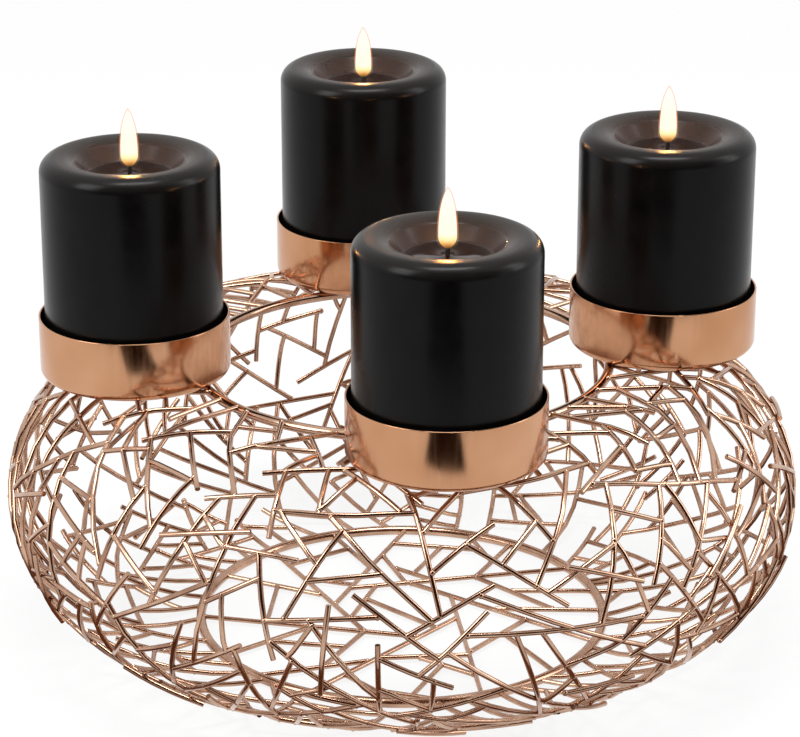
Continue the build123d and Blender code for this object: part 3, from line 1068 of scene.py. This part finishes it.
@dataclass
class BurningWicks:
    """Wicks and flames, modelled once and copied to each candle.

    A flame is a bright core in a thin skin. No flame reaches above the tallest height, so that the visual
    model stays close to the solids.
    """

    radius: float = 1.1 * MM
    stand: float = 8.5 * MM
    sunk: float = 2.0 * MM
    lean: float = 1.0 * MM
    tip_forward: float = 0.3 * MM
    tip_drop: float = 0.4 * MM
    tip_taper: float = 0.6
    bend: float = 0.8 * MM
    root_pulls: tuple[float, float] = (3.0 * MM, 5.0 * MM)
    tip_pulls: tuple[float, float] = (2.5 * MM, 1.5 * MM)
    flame_width: float = 7.8 * MM
    flame_height: float = 25.0 * MM
    flame_foot: float = 1.2 * MM
    flame_start: float = 0.01  # share of its height at which its first ring lies
    flame_run: float = 0.985  # share of its height between its first and last rings
    flame_spans: int = 24
    flame_sides: int = 32
    belly_share: float = 0.2
    belly_power: float = 0.8
    taper_power: float = 2.6
    point_radius: float = 0.08 * MM
    core_width: float = 0.86  # share of the skin's width
    core_rise: float = 1.2 * MM
    core_shortfall: float = 2.0 * MM
    tallest: float = 223.3 * MM
    light_rise: float = 17.0 * MM
    light_radius: float = 5.0 * MM
    light_colour: str = "#FFB060"
    light_watts: float = 0.07

    def wick(self, name: str, foot: Vector) -> bpy.types.Object:
        """Model the wick, burnt thin and leaning at its tip.

        Args:
            name: The piece's name.
            foot: Where it leaves the wax.

        Returns:
            The wick.
        """
        deselect_all()
        bpy.ops.curve.primitive_bezier_curve_add(location=(0, 0, 0))
        wick = bpy.context.object
        low, tip = wick.data.splines[0].bezier_points
        low.co = foot - Vector((0, 0, self.sunk))
        low.handle_left = low.co - Vector((0, 0, self.root_pulls[0]))
        low.handle_right = low.co + Vector((0, 0, self.root_pulls[1]))
        tip.co = foot + Vector((self.lean, -self.tip_forward, self.stand - self.tip_drop))
        tip.handle_left = tip.co - Vector((self.bend, 0, self.tip_pulls[0]))
        tip.handle_right = tip.co + Vector((self.bend, 0, self.tip_pulls[1]))
        tip.radius = self.tip_taper
        wick.data.bevel_depth = self.radius
        wick.data.bevel_resolution = 3
        wick.data.use_fill_caps = True
        bpy.ops.object.convert(target="MESH")
        wick = bpy.context.object
        wick.name = name
        smooth(wick, degrees=60)
        mark_rise(wick)
        return wick

    def flame(self, name: str, width: float, foot: Vector, height: float) -> bpy.types.Object:
        """Model one skin of the flame: a leaf, widest low down and drawn out to a point.

        Args:
            name: The piece's name.
            width: Widest diameter.
            foot: Its foot.
            height: Its height.

        Returns:
            The flame's skin.
        """
        profile = []
        for k in range(self.flame_spans + 1):
            share = self.flame_start + self.flame_run * k / self.flame_spans
            swell = math.sin(math.pi / 2 * min(share / self.belly_share, 1.0)) ** self.belly_power
            above = max(share - self.belly_share, 0.0) / (1 - self.belly_share)
            belly = swell * (1 - above ** self.taper_power) ** self.belly_power
            profile.append((max(width / 2 * belly, self.point_radius), foot.z + share * height))
        flame = turned(name, profile, (foot.x, foot.y), self.flame_sides)
        smooth(flame, degrees=80)
        mark_rise(flame)
        flame.visible_shadow = False
        return flame

    def light(self, foot: Vector) -> None:
        """Put a flame's own light inside it.

        Args:
            foot: Where the wick leaves the wax.
        """
        deselect_all()
        middle = foot + Vector((0, 0, self.light_rise))
        bpy.ops.object.light_add(type="POINT", radius=self.light_radius, location=middle)
        lamp = bpy.context.object.data
        lamp.color = linear(self.light_colour)[:3]
        lamp.energy = self.light_watts

    def build(self) -> None:
        """Model a wick and its flame, copy them to each candle, dress them and seat them on its body."""
        feet = {}
        for side in Side:
            feet[side] = Vector((*candle_axis(side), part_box(f"wick_{side.value}")[1][2] - self.stand))
        first = feet[Side.FRONT]
        base = first + Vector((0, 0, self.flame_foot))
        core_base = base + Vector((0, 0, self.core_rise))
        core_height = self.flame_height - self.core_shortfall
        wick = self.wick("wick", first)
        core = self.flame("core", self.flame_width * self.core_width, core_base, core_height)
        mantle = self.flame("mantle", self.flame_width, base, self.flame_height)
        cotton = WICK_COTTON.material()
        core_glow = FLAME_CORE.material()
        mantle_glow = FLAME_MANTLE.material()
        for side, foot in feet.items():
            body, shift = f"candle_{side.value}", foot - first
            stretch = min((self.tallest - foot.z - self.flame_foot) / self.flame_height, 1.0)
            burnt = copied(wick, f"burnt_wick_{side.value}", shift)
            settle(burnt, body, "wick", [cotton], f"wick_{side.value}")
            for piece, glow in ((core, core_glow), (mantle, mantle_glow)):
                copy = copied(piece, f"flame_{piece.name}_{side.value}", shift, stretch, base)
                settle(copy, body, "wick", [glow])
            self.light(foot)
        for pattern in (wick, core, mantle):
            bpy.data.objects.remove(pattern)


@dataclass
class Studio:
    """White floor, soft lights and the photograph's camera."""

    elevation: float = math.radians(20.81)
    azimuth: float = math.radians(8.8)
    distance: float = 1224 * MM
    target_x: float = -0.8 * MM
    target_z: float = 109.6 * MM
    focal_px: float = 3047.6
    sight: float = 60.0
    room_light: float = 0.55
    floor_size: float = 12.0
    floor_z: float = -0.2 * MM
    floor_glow: float = 0.86
    paper: str = "#F2F2F2"
    card_z: float = 2 * MM

    def camera(self) -> None:
        """Set the camera where the photograph was taken from."""
        back = Vector((
            -math.sin(self.azimuth) * math.cos(self.elevation),
            -math.cos(self.azimuth) * math.cos(self.elevation),
            math.sin(self.elevation),
        ))
        target = Vector((self.target_x, 0, self.target_z))
        deselect_all()
        bpy.ops.object.camera_add(location=target + back * self.distance)
        camera = bpy.context.object
        camera.rotation_euler = (-back).to_track_quat("-Z", "Y").to_euler()
        camera.data.sensor_width = SENSOR_WIDTH_MM
        camera.data.lens = self.focal_px / IMAGE_WIDTH_PX * SENSOR_WIDTH_MM
        camera.data.clip_end = self.sight
        bpy.context.scene.camera = camera

    def seen_directly(self, tree: bpy.types.NodeTree) -> bpy.types.Node:
        """Tell rays that show the background from rays that only light things.

        Args:
            tree: The node tree.

        Returns:
            A node that gives 1 for camera, glossy and transmission rays.
        """
        path = add_node(tree, "LightPath").outputs
        mirror = add_node(
            tree, "Math", {0: path["Is Camera Ray"], 1: path["Is Glossy Ray"]}, operation="MAXIMUM",
        )
        return add_node(tree, "Math", {0: mirror, 1: path["Is Transmission Ray"]}, operation="MAXIMUM")

    def world(self) -> None:
        """Fill the room with an even soft light in front of a white background."""
        world = bpy.data.worlds.new("white_studio")
        world.use_nodes = True
        tree = world.node_tree
        tree.nodes.clear()
        seen = self.seen_directly(tree)
        strength = add_node(tree, "MapRange", {"Value": seen}, To_Min=self.room_light, To_Max=1.0)
        sky = add_node(tree, "Background", {"Strength": strength}, Color=linear("#FFFFFF"))
        add_node(tree, "OutputWorld", {"Surface": sky})
        bpy.context.scene.world = world

    def floor(self) -> None:
        """Lay a plain white floor that keeps a trace of the object's shadow."""
        deselect_all()
        bpy.ops.mesh.primitive_plane_add(size=self.floor_size, location=(0, 0, self.floor_z))
        floor = bpy.context.object
        floor.name = "studio_floor"
        material, tree = blank_material("white_paper_floor")
        share = add_node(tree, "MapRange", {"Value": self.seen_directly(tree)}, To_Max=self.floor_glow)
        paper = add_node(tree, "BsdfDiffuse", Color=linear(self.paper))
        white = add_node(tree, "Emission", Color=linear("#FFFFFF"), Strength=1.0)
        mixed = add_node(tree, "MixShader", {0: share, 1: paper, 2: white})
        add_node(tree, "OutputMaterial", {"Surface": mixed})
        dress(floor, material)

    def soft_box(self, name: str, place: Point, size: tuple[float, float], watts: float) -> None:
        """Hang a soft box that faces the object.

        Args:
            name: The lamp's name.
            place: Its middle.
            size: Its width and height.
            watts: Its power.
        """
        deselect_all()
        bpy.ops.object.light_add(type="AREA", location=place)
        lamp = bpy.context.object
        lamp.name = name
        lamp.data.shape = "RECTANGLE"
        lamp.data.size, lamp.data.size_y = size
        lamp.data.energy = watts
        aim = Vector((0, 0, self.target_z)) - Vector(place)
        lamp.rotation_euler = aim.to_track_quat("-Z", "Y").to_euler()

    def flag(self, name: str, place: Point, size: tuple[float, float], felt: str) -> None:
        """Stand up a dark card that faces the object, which mirrors it as a dark side.

        Args:
            name: The card's name.
            place: Its middle.
            size: Its width and height.
            felt: Colour of its felt.
        """
        deselect_all()
        bpy.ops.mesh.primitive_plane_add(size=1.0, location=place)
        card = bpy.context.object
        card.name = name
        card.scale = (*size, 1.0)
        aim = Vector((0, 0, self.target_z)) - Vector(place)
        card.rotation_euler = aim.to_track_quat("Z", "Y").to_euler()
        self.cover(card, felt)

    def wedge_flag(self, name: str, near: Edge, far: Edge, felt: str) -> None:
        """Lay a dark card on the table that widens away from the object.

        Args:
            name: The card's name.
            near: Left end, right end and Y of its near edge.
            far: The same of its far edge.
            felt: Colour of its felt.
        """
        deselect_all()
        bpy.ops.mesh.primitive_plane_add(size=1.0, location=(0, 0, 0))
        card = bpy.context.object
        card.name = name
        for corner in card.data.vertices:
            left, right, y = near if corner.co.y > 0 else far
            corner.co = (right if corner.co.x > 0 else left, y, self.card_z)
        self.cover(card, felt)

    def ring_flag(self, name: str, inner: float, outer: float, felt: str) -> None:
        """Lay a ring-shaped dark card round the object, which darkens the undersides of its wires.

        Args:
            name: The card's name.
            inner: Inner radius.
            outer: Outer radius.
            felt: Colour of its felt.
        """
        deselect_all()
        bpy.ops.mesh.primitive_circle_add(
            vertices=64, radius=outer, fill_type="NGON", location=(0, 0, self.card_z),
        )
        card = bpy.context.object
        card.name = name
        with mesh_editing():
            bpy.ops.mesh.inset(thickness=outer - inner)
            bpy.ops.mesh.delete(type="FACE")
        self.cover(card, felt)

    def cover(self, card: bpy.types.Object, felt: str) -> None:
        """Cover a card with felt and let only reflections show it.

        Args:
            card: The card.
            felt: Colour of the felt.
        """
        material, tree = blank_material(f"{card.name}_felt")
        pile = add_node(tree, "BsdfDiffuse", Color=linear(felt))
        add_node(tree, "OutputMaterial", {"Surface": pile})
        dress(card, material)
        card.visible_camera = False
        card.visible_diffuse = False
        card.visible_shadow = False

    def build(self) -> None:
        """Set up the camera, the room and its lights."""
        self.camera()
        self.world()
        self.floor()
        self.soft_box("key_soft_box", place=(-1.6, -0.7, 1.3), size=(0.8, 1.2), watts=22.0)
        self.soft_box("fill_soft_box", place=(1.7, -0.3, 0.9), size=(0.5, 1.2), watts=9.0)
        self.soft_box("top_soft_box", place=(0.0, -0.3, 2.0), size=(1.0, 0.4), watts=22.0)
        self.flag("front_flag", place=(-0.25, -1.7, 0.95), size=(6.0, 2.3), felt="#3A2318")
        self.wedge_flag("far_table_flag", near=(-0.21, 0.07, -0.43), far=(-1.5, 0.2, -3.2), felt="#1B0F0A")
        self.ring_flag("near_table_flag", inner=0.150, outer=0.212, felt="#6A4530")


def main() -> None:
    """Build the studio and the candle holder, piece by piece."""
    logging.basicConfig(level=logging.INFO, format="%(name)s %(message)s")
    bpy.context.scene.view_settings.view_transform = "Standard"
    Studio().build()
    WireCage().build()
    CandleCups().build()
    PillarCandles().build()
    BurningWicks().build()


if __name__ == "__main__":
    main()
